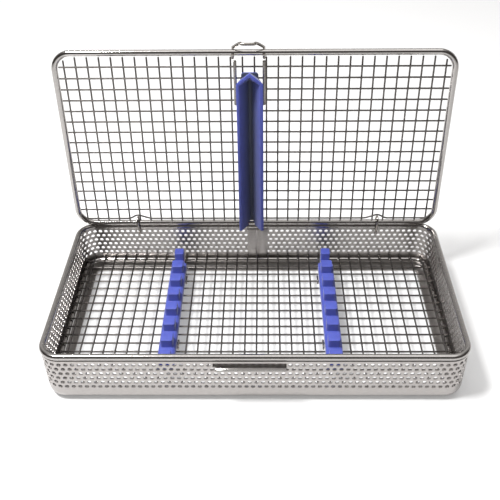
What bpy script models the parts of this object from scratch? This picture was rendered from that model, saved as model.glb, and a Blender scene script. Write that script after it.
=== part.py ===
"""Dental instrument cassette: perforated wire-mesh tray with a hinged mesh lid.

Metres, +Z up, left to right along X, front towards -Y.
The underside of the wall's foot lies on z = 0.  The lid stands open, as in the photograph.
"""
import math

import bmesh
import bpy
from mathutils import Matrix, Vector

# Rim and side wall
RIM_LONG = 0.2018
RIM_DEEP = 0.1014
RIM_HEIGHT = 0.0289
CORNER = 0.009
ROD = 0.0032
SHEET = 0.0008
WALL_REACH = 0.0011
FOOT_BEND = 0.005
FOOT_LIP = 0.0025
FIT = 0.0003
NUDGE = 0.0001

# Perforations of the side wall
HOLE = 0.0038
TOP_ROW_DROP = 0.0058
ROW_STEP = 0.006
HOLE_STEP = 0.0091
HOLE_SIDES = 6

# Slot and lip in the front wall that hold the latch
KEEPER_X = -0.0015
KEEPER_LONG = 0.0338
SLOT_DROP = 0.003
SLOT_HIGH = 0.0026
LIP_ROD = 0.0016

# Cover strip over the sheet's seam in the rear wall
SEAM_LEFT = -0.005
SEAM_RIGHT = 0.0068
SEAM_FOOT = 0.0089
SEAM_DROP = 0.0024
SEAM_SHEET = 0.0006

# Wire mesh of floor and lid
WIRE = 0.00066
WIRE_STEP = 0.006
LAYER_GAP = 0.0001
LINK_SHIFT = 0.00003
FLOOR_ACROSS = 0.0057
FLOOR_ALONG_X = 0.00075
LID_ACROSS = 0.0035
LID_ALONG_X = 0.0001
END_CLEARANCE = 0.0045
SIDE_CLEARANCE = 0.0035
FLOOR_MESH_INSET = 0.0002
LID_MESH_DROP = 0.00085
TENT_RISE = 0.0025
TENT_SHORT = 0.0042
TENT_LONG = 0.0073

# Silicone racks on the floor
RACK_LEFT_IN = 0.0567
RACK_RIGHT_IN = 0.0611
RACK_FRONT_IN = 0.0103
RACK_REAR_IN = 0.007
RACK_TOP = 0.018
RACK_BASE_WIDE = 0.0084
RACK_TOOTH_WIDE = 0.0062
RACK_TONGUE_WIDE = 0.0052
RACK_TONGUE_LONG = 0.0073
RACK_SHOULDER = 0.0122
RACK_TOOTH_FOOT = 0.013
RACK_END_LONG = 0.0045
RACK_SLOT_LONG = 0.0054
RACK_SLOT_STEP = 0.01135
RACK_SLOT_DEEP = 0.0048

# Wire staples at the racks' feet
STAPLE_WIRE = 0.001
STAPLE_LONG = 0.005
STAPLE_RISE = 0.0016
STAPLE_FRONT_IN = 0.0267
STAPLE_REAR_IN = 0.0247

# Lid, hinge clips and latch
LID_LEAN = math.radians(4.0)
HINGE_IN = 0.001
CLIP_WIRE = 0.0014
CLIP_LEFT_IN = 0.0337
CLIP_RIGHT_IN = 0.0319
CLIP_RISE = 0.0009
CLIP_OUTER_DROP = 0.002
CLIP_INNER_DROP = 0.0047
LATCH_WIRE = 0.0015
LATCH_LEFT_X = -0.0107
LATCH_RIGHT_X = 0.0049
LATCH_TIP_LEFT_X = -0.0062
LATCH_TIP_RIGHT_X = 0.0005
LATCH_STRAIGHT = 0.006
LATCH_KNEE = 0.0084
LATCH_KNEE_IN = 0.0006
LATCH_REACH = 0.00945
LATCH_TIP_IN = 0.00155
LATCH_REST = math.radians(36.5)
LATCH_WRAP = math.radians(230.0)
LEG_LEFT_X = -0.00965
LEG_RIGHT_X = 0.00495
LEG_LONG = 0.0239
LEG_FREE = 0.0031

# Hold-down bar on the inner side of the lid
BAR_X = -0.0023
BAR_BASE_START = 0.0016
BAR_BRIM_START = 0.0004
BAR_FREE = 0.0072
BOW_LONG = 0.0057
BOW_LEAN = 0.0024
BAR_BASE_WIDE = 0.009
BAR_OPEN_WIDE = 0.0137
BAR_TALL = 0.008
BAR_THICK = 0.0016
VALLEY_WIDE = 0.0014
BAR_ARCH = 0.0033
ARCH_TALL = 0.0032
ARCH_SIDES = 16
BAR_FOOT_LONG = 0.0115
BAR_FOOT_SHORT = 0.0023
BAR_FOOT_WIDE = 0.0088

CORNER_STEPS = 8
BEND_STEPS = 4
WRAP_STEPS = 9
ARCH_STEPS = 6
ROD_FACETS = 2

STEEL = ((0.62, 0.61, 0.60), 0.28, 1.0)
SHEET_STEEL = ((0.66, 0.65, 0.64), 0.38, 1.0)
WIRE_STEEL = ((0.45, 0.44, 0.43), 0.32, 1.0)
SPRING_STEEL = ((0.52, 0.50, 0.47), 0.25, 1.0)
SILICONE = ((0.10, 0.13, 0.52), 0.55, 0.0)

# Sizes that follow from the ones above
LONG_HALF = RIM_LONG / 2
DEEP_HALF = RIM_DEEP / 2
LID_DEEP = RIM_DEEP - HINGE_IN
ROD_RADIUS = ROD / 2
SLOT_TOP = RIM_HEIGHT - SLOT_DROP
SLOT_FLOOR = SLOT_TOP - SLOT_HIGH
TOP_ROW = RIM_HEIGHT - TOP_ROW_DROP
WALL_TOP = RIM_HEIGHT - ROD_RADIUS - FIT
WALL_INNER = WALL_REACH - SHEET
FLOOR_INSET = ROD_RADIUS + FIT - WALL_INNER
FLOOR_ROD_Z = FOOT_BEND
LAYER = LAYER_GAP / 2 + WIRE
FLOOR_MESH_Z = FLOOR_ROD_Z + ROD_RADIUS + FIT + LAYER
RACK_FOOT = FLOOR_MESH_Z + LAYER + FIT
RACK_LONG = RIM_DEEP - RACK_FRONT_IN - RACK_REAR_IN
RACK_Y = (RACK_FRONT_IN - RACK_REAR_IN) / 2
RACK_SLOTS = 1 + int((RACK_LONG - RACK_SLOT_LONG - 2 * RACK_END_LONG) / RACK_SLOT_STEP)
HINGE_Y = DEEP_HALF - HINGE_IN
HINGE_Z = RIM_HEIGHT + math.sqrt((ROD + FIT) ** 2 - HINGE_IN ** 2)
HINGE_TILT = math.atan2(HINGE_IN, HINGE_Z - RIM_HEIGHT)
LATCH_RING = ROD_RADIUS + FIT + LATCH_WIRE / 2
CLIP_RING = ROD_RADIUS + FIT + CLIP_WIRE / 2
BAR_SEAT = LID_MESH_DROP + LAYER + FIT
BAR_TIP = LID_DEEP - BAR_FREE
BAR_SHOULDER = BAR_TIP - BOW_LONG
BAR_BASE_TIP = BAR_TIP - BOW_LEAN
LEG_END = LID_DEEP - LEG_FREE
LEG_START = LEG_END - LEG_LONG
LIP_Y = DEEP_HALF + WALL_REACH + FIT + LIP_ROD / 2
FRONT_REACH = LIP_Y + LIP_ROD / 2
BACK_REACH = HINGE_Y + LID_DEEP * math.sin(LID_LEAN) + LATCH_RING + LATCH_WIRE / 2
TRAY_Y = (FRONT_REACH - BACK_REACH) / 2


def clear_scene():
    """Start from an empty file."""
    for item in list(bpy.data.objects):
        bpy.data.objects.remove(item, do_unlink=True)


def collection(name, hidden=False):
    """Add a collection to the scene."""
    group = bpy.data.collections.new(name)
    bpy.context.scene.collection.children.link(group)
    group.hide_render = hidden
    return group


def finish(name, recipe):
    """Make one part's own material."""
    colour, roughness, metallic = recipe
    material = bpy.data.materials.new(name)
    material.use_nodes = True
    shader = material.node_tree.nodes["Principled BSDF"]
    shader.inputs["Base Color"].default_value = (*colour, 1.0)
    shader.inputs["Roughness"].default_value = roughness
    shader.inputs["Metallic"].default_value = metallic
    material.diffuse_color = (*colour, 1.0)
    return material


def add_mesh(name, builder, group, recipe=None, parent=None, offset=(0, 0, 0)):
    """Turn a bmesh into an object of its own."""
    bmesh.ops.recalc_face_normals(builder, faces=builder.faces)
    mesh = bpy.data.meshes.new(name)
    builder.to_mesh(mesh)
    builder.free()
    item = bpy.data.objects.new(name, mesh)
    item.location = offset
    group.objects.link(item)
    if recipe:
        mesh.materials.append(finish(name, recipe))
    if parent:
        item.parent = parent
    return item


def smooth(item, angle=math.radians(35)):
    """Shade smooth, keeping edges sharper than the angle."""
    for face in item.data.polygons:
        face.use_smooth = True
    item.data.set_sharp_from_angle(angle=angle)


def apply_modifiers(item):
    """Make the modifiers' result the object's mesh."""
    graph = bpy.context.evaluated_depsgraph_get()
    result = bpy.data.meshes.new_from_object(item.evaluated_get(graph))
    item.modifiers.clear()
    item.data = result


def combine(item, tool, operation):
    """Cut with, or join to, another closed mesh."""
    step = item.modifiers.new(operation.title(), "BOOLEAN")
    step.operation = operation
    step.solver = "EXACT"
    step.object = tool
    apply_modifiers(item)


def cutter(name, builder, offset=(0, 0, 0)):
    """A hidden solid that is taken away from a part."""
    tool = add_mesh(name, builder, CUTTERS, offset=offset)
    tool.hide_render = True
    tool.display_type = "WIRE"
    return tool


def add_box(builder, low, high):
    """Add a box between two corners."""
    low = Vector(low)
    high = Vector(high)
    size = high - low
    place = Matrix.Translation((low + high) / 2) @ Matrix.Diagonal((*size, 1))
    bmesh.ops.create_cube(builder, size=1, matrix=place)


def rounded_path(long_half, deep_half, radius):
    """Closed path with round corners, seen from above."""
    points = []
    for quarter in range(4):
        side_x = 1 if quarter in (0, 3) else -1
        side_y = 1 if quarter in (0, 1) else -1
        centre = Vector((side_x * (long_half - radius), side_y * (deep_half - radius), 0))
        for step in range(CORNER_STEPS + 1):
            turn = math.pi / 2 * (quarter + step / CORNER_STEPS)
            points.append(centre + radius * Vector((math.cos(turn), math.sin(turn), 0)))
    return points


def reach(across, long_half, deep_half, radius):
    """How far a straight wire can run before it meets the rounded outline."""
    past = abs(across) - (long_half - radius)
    if past <= 0:
        return deep_half
    return deep_half - radius + math.sqrt(max(radius ** 2 - past ** 2, 0))


def wire(name, points, diameter, recipe, closed=False, parent=None, offset=(0, 0, 0)):
    """Round wire along a path of points."""
    curve = bpy.data.curves.new(name + "_path", "CURVE")
    curve.dimensions = "3D"
    curve.bevel_depth = diameter / 2
    curve.bevel_resolution = ROD_FACETS
    curve.use_fill_caps = not closed
    spline = curve.splines.new("POLY")
    spline.points.add(len(points) - 1)
    for target, point in zip(spline.points, points):
        target.co = (*point, 1)
    spline.use_cyclic_u = closed
    drawn = bpy.data.objects.new(name + "_path", curve)
    PART.objects.link(drawn)
    graph = bpy.context.evaluated_depsgraph_get()
    mesh = bpy.data.meshes.new_from_object(drawn.evaluated_get(graph))
    bpy.data.objects.remove(drawn, do_unlink=True)
    builder = bmesh.new()
    builder.from_mesh(mesh)
    bmesh.ops.remove_doubles(builder, verts=builder.verts, dist=NUDGE / 10)
    item = add_mesh(name, builder, PART, recipe, parent, offset)
    smooth(item)
    return item


def wall_outline(distance, span_long, span_deep, radius):
    """Point and outward direction at a distance round the wall, from the front's middle."""
    straight_long = 2 * (span_long - radius)
    straight_deep = 2 * (span_deep - radius)
    arc = math.pi / 2 * radius
    left = distance + straight_long / 2
    for quarter, straight in enumerate((straight_long, straight_deep) * 2):
        heading = math.pi / 2 * quarter
        along = Vector((math.cos(heading), math.sin(heading), 0))
        out = Vector((math.sin(heading), -math.cos(heading), 0))
        side = span_deep if quarter % 2 == 0 else span_long
        if left <= straight:
            return out * side + along * (left - straight / 2), out
        left -= straight
        if left <= arc:
            turn = left / radius
            centre = out * (side - radius) + along * (straight / 2)
            facing = out * math.cos(turn) + along * math.sin(turn)
            return centre + facing * radius, facing
        left -= arc
    return wall_outline(left - straight_long / 2, span_long, span_deep, radius)


def make_side_wall():
    """One strip of sheet with round corners, a rolled foot and rows of holes."""
    outer_long = LONG_HALF + WALL_REACH
    outer_deep = DEEP_HALF + WALL_REACH
    outer_corner = CORNER + WALL_REACH
    sheet = bmesh.new()
    add_box(sheet, (-outer_long, -outer_deep, 0), (outer_long, outer_deep, WALL_TOP))
    upright = [edge for edge in sheet.edges
               if abs(edge.verts[0].co.z - edge.verts[1].co.z) > WALL_TOP / 2]
    bmesh.ops.bevel(sheet, geom=upright, offset=outer_corner, segments=CORNER_STEPS,
                    profile=0.5, affect="EDGES")
    foot = [edge for edge in sheet.edges
            if max(vert.co.z for vert in edge.verts) < WALL_TOP / 2]
    bmesh.ops.bevel(sheet, geom=foot, offset=FOOT_BEND, segments=BEND_STEPS,
                    profile=0.5, affect="EDGES")
    sheet.faces.ensure_lookup_table()
    under = min(sheet.faces, key=lambda face: face.calc_center_median().z)
    over = max(sheet.faces, key=lambda face: face.calc_center_median().z)
    bmesh.ops.inset_region(sheet, faces=[under], thickness=FOOT_LIP)
    bmesh.ops.delete(sheet, geom=[under, over], context="FACES")
    wall = add_mesh("side_wall", sheet, PART, SHEET_STEEL, offset=(0, TRAY_Y, 0))
    skin = wall.modifiers.new("Sheet thickness", "SOLIDIFY")
    skin.thickness = SHEET
    skin.offset = -1
    skin.use_even_offset = True
    apply_modifiers(wall)

    punches = bmesh.new()
    middle = WALL_REACH - SHEET / 2
    spans = (LONG_HALF + middle, DEEP_HALF + middle, CORNER + middle)
    girth = 4 * (spans[0] + spans[1]) - (8 - 2 * math.pi) * spans[2]
    holes_round = round(girth / HOLE_STEP)
    rows = 1 + int((TOP_ROW - HOLE / 2 - FOOT_BEND) / ROW_STEP)
    step = girth / holes_round
    for row in range(rows):
        height = TOP_ROW - row * ROW_STEP
        for number in range(holes_round):
            place, out = wall_outline((number + row % 2 / 2) * step, *spans)
            at_slot = place.y < 0 and row == 0 and abs(place.x - KEEPER_X) < KEEPER_LONG / 2 + HOLE
            at_seam = place.y > 0 and SEAM_LEFT - HOLE / 2 < place.x < SEAM_RIGHT + HOLE / 2
            if at_slot or at_seam:
                continue
            turn = out.to_track_quat("Z", "Y").to_matrix().to_4x4()
            spot = Matrix.Translation((place.x, place.y, height)) @ turn
            bmesh.ops.create_cone(punches, cap_ends=True, segments=HOLE_SIDES, radius1=HOLE / 2,
                                  radius2=HOLE / 2, depth=SHEET * 4, matrix=spot)
    slot_low = (KEEPER_X - KEEPER_LONG / 2, -outer_deep - SHEET, SLOT_FLOOR)
    slot_high = (KEEPER_X + KEEPER_LONG / 2, -outer_deep + 2 * SHEET, SLOT_TOP)
    add_box(punches, slot_low, slot_high)
    combine(wall, cutter("wall_punches", punches, (0, TRAY_Y, 0)), "DIFFERENCE")
    smooth(wall)
    return wall


def frame_rod(name, deep_half, inset, height, parent=None, offset=(0, 0, 0)):
    """Closed rod frame with round corners."""
    path = rounded_path(LONG_HALF - inset, deep_half - inset, CORNER - inset)
    points = [point + Vector((0, 0, height)) for point in path]
    return wire(name, points, ROD, STEEL, True, parent, offset)


def flat_wire(builder, points, height):
    """Wire of square section that follows a level path from left to right."""
    half = WIRE / 2
    rings = []
    for x, y in points:
        corners = ((y - half, height - half), (y + half, height - half),
                   (y + half, height + half), (y - half, height + half))
        rings.append([builder.verts.new((x, side, level)) for side, level in corners])
    builder.faces.new(rings[0])
    builder.faces.new(rings[-1])
    for near, far in zip(rings, rings[1:]):
        for corner in range(4):
            ahead = (corner + 1) % 4
            builder.faces.new((near[corner], near[ahead], far[ahead], far[corner]))


def wire_mesh(name, deep_half, inset, across, along_x, height, tents=(), parent=None,
              offset=(0, 0, 0)):
    """Square wire mesh: one layer runs left to right, the other front to back.

    The outermost wires of both layers and the middle one lie midway and link all the others
    into one body.  Tents are the places where the rearmost wire is bent round a hinge clip.
    """
    layers = {"across": bmesh.new(), "along": bmesh.new()}
    outline = (LONG_HALF - inset, deep_half - inset, CORNER - inset)
    half = WIRE / 2
    across_wires = 1 + int((2 * deep_half - across - END_CLEARANCE) / WIRE_STEP)
    side_wires = int((LONG_HALF - abs(along_x) - SIDE_CLEARANCE) / WIRE_STEP)
    for number in range(across_wires):
        spot = deep_half - across - number * WIRE_STEP
        length = reach(abs(spot) + half, outline[1], outline[0], outline[2])
        link = number in (0, across_wires - 1)
        middle = height - LINK_SHIFT if link else height - LAYER + half
        points = [(-length, spot)]
        for left_foot, top, right_foot in tents if number == 0 else ():
            points += [(left_foot, spot), (top, spot - TENT_RISE), (right_foot, spot)]
        flat_wire(layers["across"], points + [(length, spot)], middle)
    for number in range(-side_wires, side_wires + 1):
        spot = along_x + number * WIRE_STEP
        length = reach(abs(spot) + half, *outline)
        link = abs(number) == side_wires or number == 0
        middle = height + LINK_SHIFT if link else height + LAYER - half
        add_box(layers["along"], (spot - half, -length, middle - half),
                (spot + half, length, middle + half))
    grid = add_mesh(name, layers["across"], PART, WIRE_STEEL, parent, offset)
    other = cutter(name + "_along", layers["along"], offset)
    other.parent = parent
    bpy.context.view_layer.update()
    combine(grid, other, "UNION")
    return grid


def make_rack(name, centre_x):
    """Silicone rack: a broad foot, a row of teeth and a narrow tongue at its rear end."""
    half_long = RACK_LONG / 2
    body_half = half_long - RACK_TONGUE_LONG
    foot = RACK_BASE_WIDE / 2
    tooth = RACK_TOOTH_WIDE / 2
    right_side = ((foot, RACK_FOOT), (foot, RACK_SHOULDER), (tooth, RACK_TOOTH_FOOT),
                  (tooth, RACK_TOP))
    profile = list(right_side) + [(-x, z) for x, z in reversed(right_side)]
    body = bmesh.new()
    corners = [body.verts.new((x, -half_long, z)) for x, z in profile]
    end = body.faces.new(corners)
    grown = bmesh.ops.extrude_face_region(body, geom=[end])
    moved = [item for item in grown["geom"] if isinstance(item, bmesh.types.BMVert)]
    bmesh.ops.translate(body, verts=moved, vec=(0, half_long + body_half, 0))
    where = (centre_x, TRAY_Y + RACK_Y, 0)
    rack = add_mesh(name, body, PART, SILICONE, offset=where)
    tongue = bmesh.new()
    narrow = RACK_TONGUE_WIDE / 2
    add_box(tongue, (-narrow, 0, RACK_FOOT + NUDGE), (narrow, half_long, RACK_TOP - NUDGE))
    combine(rack, cutter(name + "_tongue", tongue, where), "UNION")
    slots = bmesh.new()
    for number in range(RACK_SLOTS):
        spot = (number - (RACK_SLOTS - 1) / 2) * RACK_SLOT_STEP
        add_box(slots, (-foot * 2, spot - RACK_SLOT_LONG / 2, RACK_TOP - RACK_SLOT_DEEP),
                (foot * 2, spot + RACK_SLOT_LONG / 2, RACK_TOP + FIT))
    combine(rack, cutter(name + "_slots", slots, where), "DIFFERENCE")
    return rack


def make_staple(name, centre_x, inward, centre_y):
    """Small wire staple against the inner side of a rack's foot."""
    x = centre_x + inward * (RACK_BASE_WIDE / 2 + FIT + STAPLE_WIRE / 2)
    low = RACK_FOOT
    high = low + STAPLE_RISE
    near = centre_y - STAPLE_LONG / 2
    far = centre_y + STAPLE_LONG / 2
    points = [Vector((x, near, low)), Vector((x, near, high)), Vector((x, far, high)),
              Vector((x, far, low))]
    return wire(name, points, STAPLE_WIRE, SPRING_STEEL, offset=(0, TRAY_Y, 0))


def ring_point(x, centre_y, centre_z, radius, turn):
    """Point of a ring that stands across the tray, counted from its rear side upwards."""
    return Vector((x, centre_y + radius * math.cos(turn), centre_z + radius * math.sin(turn)))


def make_hinge_clip(name, centre_x):
    """Bent wire that holds the lid's rear rod to the rim."""
    rear = DEEP_HALF
    points = [Vector((centre_x, rear + CLIP_RING, RIM_HEIGHT - CLIP_OUTER_DROP)),
              ring_point(centre_x, rear, RIM_HEIGHT, CLIP_RING, 0),
              ring_point(centre_x, rear, RIM_HEIGHT, CLIP_RING, HINGE_TILT)]
    for step in range(ARCH_STEPS + 1):
        turn = HINGE_TILT + math.pi * step / ARCH_STEPS
        lift = CLIP_RISE * math.sin(math.pi * step / ARCH_STEPS)
        points.append(ring_point(centre_x, HINGE_Y, HINGE_Z + lift, CLIP_RING, turn))
    for turn in (math.pi + HINGE_TILT, math.radians(213), math.radians(230)):
        points.append(ring_point(centre_x, rear, RIM_HEIGHT, CLIP_RING, turn))
    tail_y = rear + WALL_INNER - FIT - CLIP_WIRE / 2
    points.append(Vector((centre_x, tail_y, RIM_HEIGHT - CLIP_INNER_DROP)))
    return wire(name, points, CLIP_WIRE, SPRING_STEEL, offset=(0, TRAY_Y, 0))


def outline_solid(base_outline, top_outline, base_z, top_z):
    """Closed solid between a lower and an upper outline of as many corners."""
    solid = bmesh.new()
    low = solid.faces.new([solid.verts.new((x, y, base_z)) for x, y in base_outline])
    grown = bmesh.ops.extrude_face_region(solid, geom=[low])
    top = [item for item in grown["geom"] if isinstance(item, bmesh.types.BMFace)][0]
    for vert in top.verts:
        nearest = min(range(len(base_outline)),
                      key=lambda index: (Vector(base_outline[index]) - vert.co.xy).length)
        vert.co = (*top_outline[nearest], top_z)
    return solid


def bar_outline(half, start, shoulder, tip):
    """Straight sides that run together to a bow at the free end."""
    return [(-half, -start), (half, -start), (half, -shoulder), (0, -tip), (-half, -shoulder)]


def lid_tool(name, builder, parent, where):
    """A hidden solid that shapes a piece of the lid."""
    tool = cutter(name, builder, where)
    tool.parent = parent
    bpy.context.view_layer.update()
    return tool


def make_hold_down_bar(parent):
    """Silicone bar with a deep valley, bow-shaped at the free end and arched over the hinge."""
    base = BAR_BASE_WIDE / 2
    brim = BAR_OPEN_WIDE / 2
    seat = -BAR_SEAT
    outer = outline_solid(bar_outline(base, BAR_BASE_START, BAR_SHOULDER, BAR_BASE_TIP),
                          bar_outline(brim, BAR_BRIM_START, BAR_SHOULDER, BAR_TIP),
                          seat, seat - BAR_TALL)
    where = (BAR_X, 0, 0)
    bar = add_mesh("hold_down_bar", outer, PART, SILICONE, parent, where)
    valley = VALLEY_WIDE / 2
    mouth = brim - BAR_THICK
    inner = BAR_SHOULDER - BAR_THICK / 2
    behind = BAR_BRIM_START - BAR_THICK
    hollow = outline_solid(
        bar_outline(valley, behind, inner, BAR_BASE_TIP - 2 * BAR_THICK),
        bar_outline(mouth, behind, inner, BAR_TIP - BAR_THICK - FIT),
        seat - BAR_THICK, seat - BAR_TALL - FIT)
    combine(bar, lid_tool("bar_valley", hollow, parent, where), "DIFFERENCE")
    arch = bmesh.new()
    spot = Matrix.Translation((0, -BAR_BRIM_START, seat - ARCH_TALL / 2 + FIT))
    bmesh.ops.create_cone(arch, cap_ends=True, segments=ARCH_SIDES, radius1=BAR_ARCH,
                          radius2=BAR_ARCH, depth=ARCH_TALL, matrix=spot)
    combine(bar, lid_tool("bar_arch", arch, parent, where), "DIFFERENCE")
    foot = bmesh.new()
    half = BAR_FOOT_WIDE / 2
    foot_end = BAR_TIP - BAR_FOOT_SHORT
    add_box(foot, (-half, -foot_end, seat - BAR_THICK + NUDGE),
            (half, BAR_FOOT_LONG - foot_end, seat - NUDGE))
    combine(bar, lid_tool("bar_foot", foot, parent, where), "UNION")
    return bar


def make_latch_loop(parent):
    """Wire loop hung on the lid's front rod, drawn as it hooks into the keeper slot."""
    points = []
    for side_x, tip_x in ((LATCH_LEFT_X, LATCH_TIP_LEFT_X), (LATCH_RIGHT_X, LATCH_TIP_RIGHT_X)):
        half = []
        for step in range(WRAP_STEPS + 1):
            turn = math.pi / 2 + LATCH_WRAP * (1 - step / WRAP_STEPS)
            half.append(Vector((side_x, -LATCH_RING * math.sin(turn),
                                -LATCH_RING * math.cos(turn))))
        knee = LATCH_STRAIGHT / LATCH_KNEE
        half.append(Vector((side_x + knee * (tip_x - side_x), -LATCH_RING, -LATCH_STRAIGHT)))
        half.append(Vector((tip_x, -LATCH_RING + LATCH_KNEE_IN, -LATCH_KNEE)))
        half.append(Vector((tip_x, -LATCH_RING + LATCH_TIP_IN, -LATCH_REACH)))
        points += half if not points else reversed(half)
    return wire("latch_loop", points, LATCH_WIRE, SPRING_STEEL, parent=parent)


def make_latch_leg(name, side_x, parent):
    """Straight leg of the latch wire along the lid's inner side."""
    depth = -LATCH_RING
    points = [Vector((side_x, -LEG_START, depth)), Vector((side_x, -LEG_END, depth))]
    return wire(name, points, LATCH_WIRE, SPRING_STEEL, parent=parent)


def hinge_empty(name, location, turn, parent=None):
    """Empty on a joint's axis."""
    pivot = bpy.data.objects.new(name, None)
    pivot.empty_display_size = ROD
    pivot.location = location
    pivot.rotation_euler = (turn, 0, 0)
    pivot.parent = parent
    PART.objects.link(pivot)
    return pivot


clear_scene()
PART = collection("instrument_cassette")
CUTTERS = collection("cutters", hidden=True)
tray_offset = (0, TRAY_Y, 0)

make_side_wall()
frame_rod("rim_rod", DEEP_HALF, 0, RIM_HEIGHT, offset=tray_offset)
frame_rod("floor_frame", DEEP_HALF, FLOOR_INSET, FLOOR_ROD_Z, offset=tray_offset)
wire_mesh("floor_mesh", DEEP_HALF, FLOOR_MESH_INSET, FLOOR_ACROSS, FLOOR_ALONG_X, FLOOR_MESH_Z,
          offset=tray_offset)

lip_ends = [Vector((KEEPER_X + side * KEEPER_LONG / 2, -LIP_Y, SLOT_FLOOR - LIP_ROD / 2 + FIT))
            for side in (-1, 1)]
wire("keeper_lip", lip_ends, LIP_ROD, STEEL, offset=tray_offset)
strip = bmesh.new()
strip_y = DEEP_HALF + WALL_INNER - FIT
add_box(strip, (SEAM_LEFT, strip_y - SEAM_SHEET, SEAM_FOOT),
        (SEAM_RIGHT, strip_y, RIM_HEIGHT - SEAM_DROP))
add_mesh("seam_strip", strip, PART, SHEET_STEEL, offset=tray_offset)

rack_places = (("left", RACK_LEFT_IN - LONG_HALF, 1), ("right", LONG_HALF - RACK_RIGHT_IN, -1))
for side_name, rack_x, inward in rack_places:
    make_rack("rack_" + side_name, rack_x)
    make_staple("rack_staple_" + side_name + "_front", rack_x, inward,
                STAPLE_FRONT_IN - DEEP_HALF)
    make_staple("rack_staple_" + side_name + "_rear", rack_x, inward,
                DEEP_HALF - STAPLE_REAR_IN)
clip_left_x = CLIP_LEFT_IN - LONG_HALF
clip_right_x = LONG_HALF - CLIP_RIGHT_IN
make_hinge_clip("hinge_clip_left", clip_left_x)
make_hinge_clip("hinge_clip_right", clip_right_x)

lid_pivot = hinge_empty("lid_hinge", (0, TRAY_Y + HINGE_Y, HINGE_Z), -LID_LEAN - math.pi / 2)
latch_pivot = hinge_empty("latch_hinge", (0, -LID_DEEP, 0), -LATCH_REST, lid_pivot)
lid_offset = (0, -LID_DEEP / 2, 0)
frame_rod("lid_frame", LID_DEEP / 2, 0, 0, lid_pivot, lid_offset)
tents = ((clip_left_x - TENT_SHORT, clip_left_x, clip_left_x + TENT_LONG),
         (clip_right_x - TENT_LONG, clip_right_x, clip_right_x + TENT_SHORT))
wire_mesh("lid_mesh", LID_DEEP / 2, ROD_RADIUS + FIT, LID_ACROSS, LID_ALONG_X, -LID_MESH_DROP,
          tents, lid_pivot, lid_offset)
make_hold_down_bar(lid_pivot)
make_latch_leg("latch_leg_left", LEG_LEFT_X, lid_pivot)
make_latch_leg("latch_leg_right", LEG_RIGHT_X, lid_pivot)
make_latch_loop(latch_pivot)
bpy.context.view_layer.update()
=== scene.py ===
# %% [markdown]
# # A dental instrument cassette in steel wire and silicone
#
# The cassette is a shallow tray of perforated sheet with a floor and a lid of welded wire.
# Two silicone racks hold the instruments and a silicone trough on the lid holds them down.
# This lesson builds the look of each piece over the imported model, which is already the right
# size and in the right place.  All lengths are in metres.

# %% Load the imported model
import math

import bmesh
import bpy
from mathutils import Matrix, Vector


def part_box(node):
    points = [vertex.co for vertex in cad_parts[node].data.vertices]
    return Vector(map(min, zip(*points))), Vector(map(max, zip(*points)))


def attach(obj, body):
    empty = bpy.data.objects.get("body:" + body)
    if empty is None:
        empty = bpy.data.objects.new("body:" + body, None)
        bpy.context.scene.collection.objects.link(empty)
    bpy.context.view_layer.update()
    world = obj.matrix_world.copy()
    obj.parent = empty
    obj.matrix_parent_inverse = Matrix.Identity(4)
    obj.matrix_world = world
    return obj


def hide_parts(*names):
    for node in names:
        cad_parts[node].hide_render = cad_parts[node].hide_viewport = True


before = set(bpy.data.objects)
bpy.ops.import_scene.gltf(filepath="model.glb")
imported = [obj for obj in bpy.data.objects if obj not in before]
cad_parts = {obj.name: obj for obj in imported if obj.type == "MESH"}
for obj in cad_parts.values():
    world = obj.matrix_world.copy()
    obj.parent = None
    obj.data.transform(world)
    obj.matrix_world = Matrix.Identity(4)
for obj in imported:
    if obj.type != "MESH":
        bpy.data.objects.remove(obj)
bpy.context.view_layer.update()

MM = 0.001

# %% [markdown]
# ## Measures that several pieces share
#
# The rods of the rim, the floor and the lid follow one rounded rectangle.  Reading the boxes of
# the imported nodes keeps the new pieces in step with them.  The few measures that no box tells,
# such as the radius of the corners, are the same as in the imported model.
# The lid's pieces are made in the lid's own measures: X across, -Y from the hinge to the front,
# -Z from the rods' middle to the inner side.

# %% Shared measures
rim_low, rim_high = (Vector(corner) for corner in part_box("rim_rod"))
ROD = rim_high.z - rim_low.z
LONG = (rim_high.x - rim_low.x - ROD) / 2
DEEP = (rim_high.y - rim_low.y - ROD) / 2
TRAY_Y = (rim_low.y + rim_high.y) / 2
RIM_Z = (rim_low.z + rim_high.z) / 2
CORNER = 9.0 * MM
GAP = 0.3 * MM
HINGE_IN = 1.0 * MM
HINGE_RISE = math.sqrt((ROD + GAP) ** 2 - HINGE_IN ** 2)
HINGE_TILT = math.atan2(HINGE_IN, HINGE_RISE)
HINGE = Vector((0, TRAY_Y + DEEP - HINGE_IN, RIM_Z + HINGE_RISE))
LID_DEEP = 2 * DEEP - HINGE_IN
OPENED = math.radians(94)
LATCH_TURN = math.radians(36.5)
FLOOR_INSET = 1.6 * MM
FLOOR_ROD_Z = 5.0 * MM
FLOOR_NET_Z = 7.61 * MM
FLOOR_NET_INSET = 0.2 * MM
LID_NET_INSET = 1.9 * MM
LID_NET_DROP = 0.85 * MM
TINY = 0.02 * MM
print("rod", round(ROD / MM, 2), "half spans", round(LONG / MM, 2), round(DEEP / MM, 2))

# %% [markdown]
# ## The camera
#
# The crossings of the two meshes fix the camera: a slightly long lens, held a little above the
# open lid and looking down at the tray.  A small shift puts the picture's middle where it was.

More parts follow.
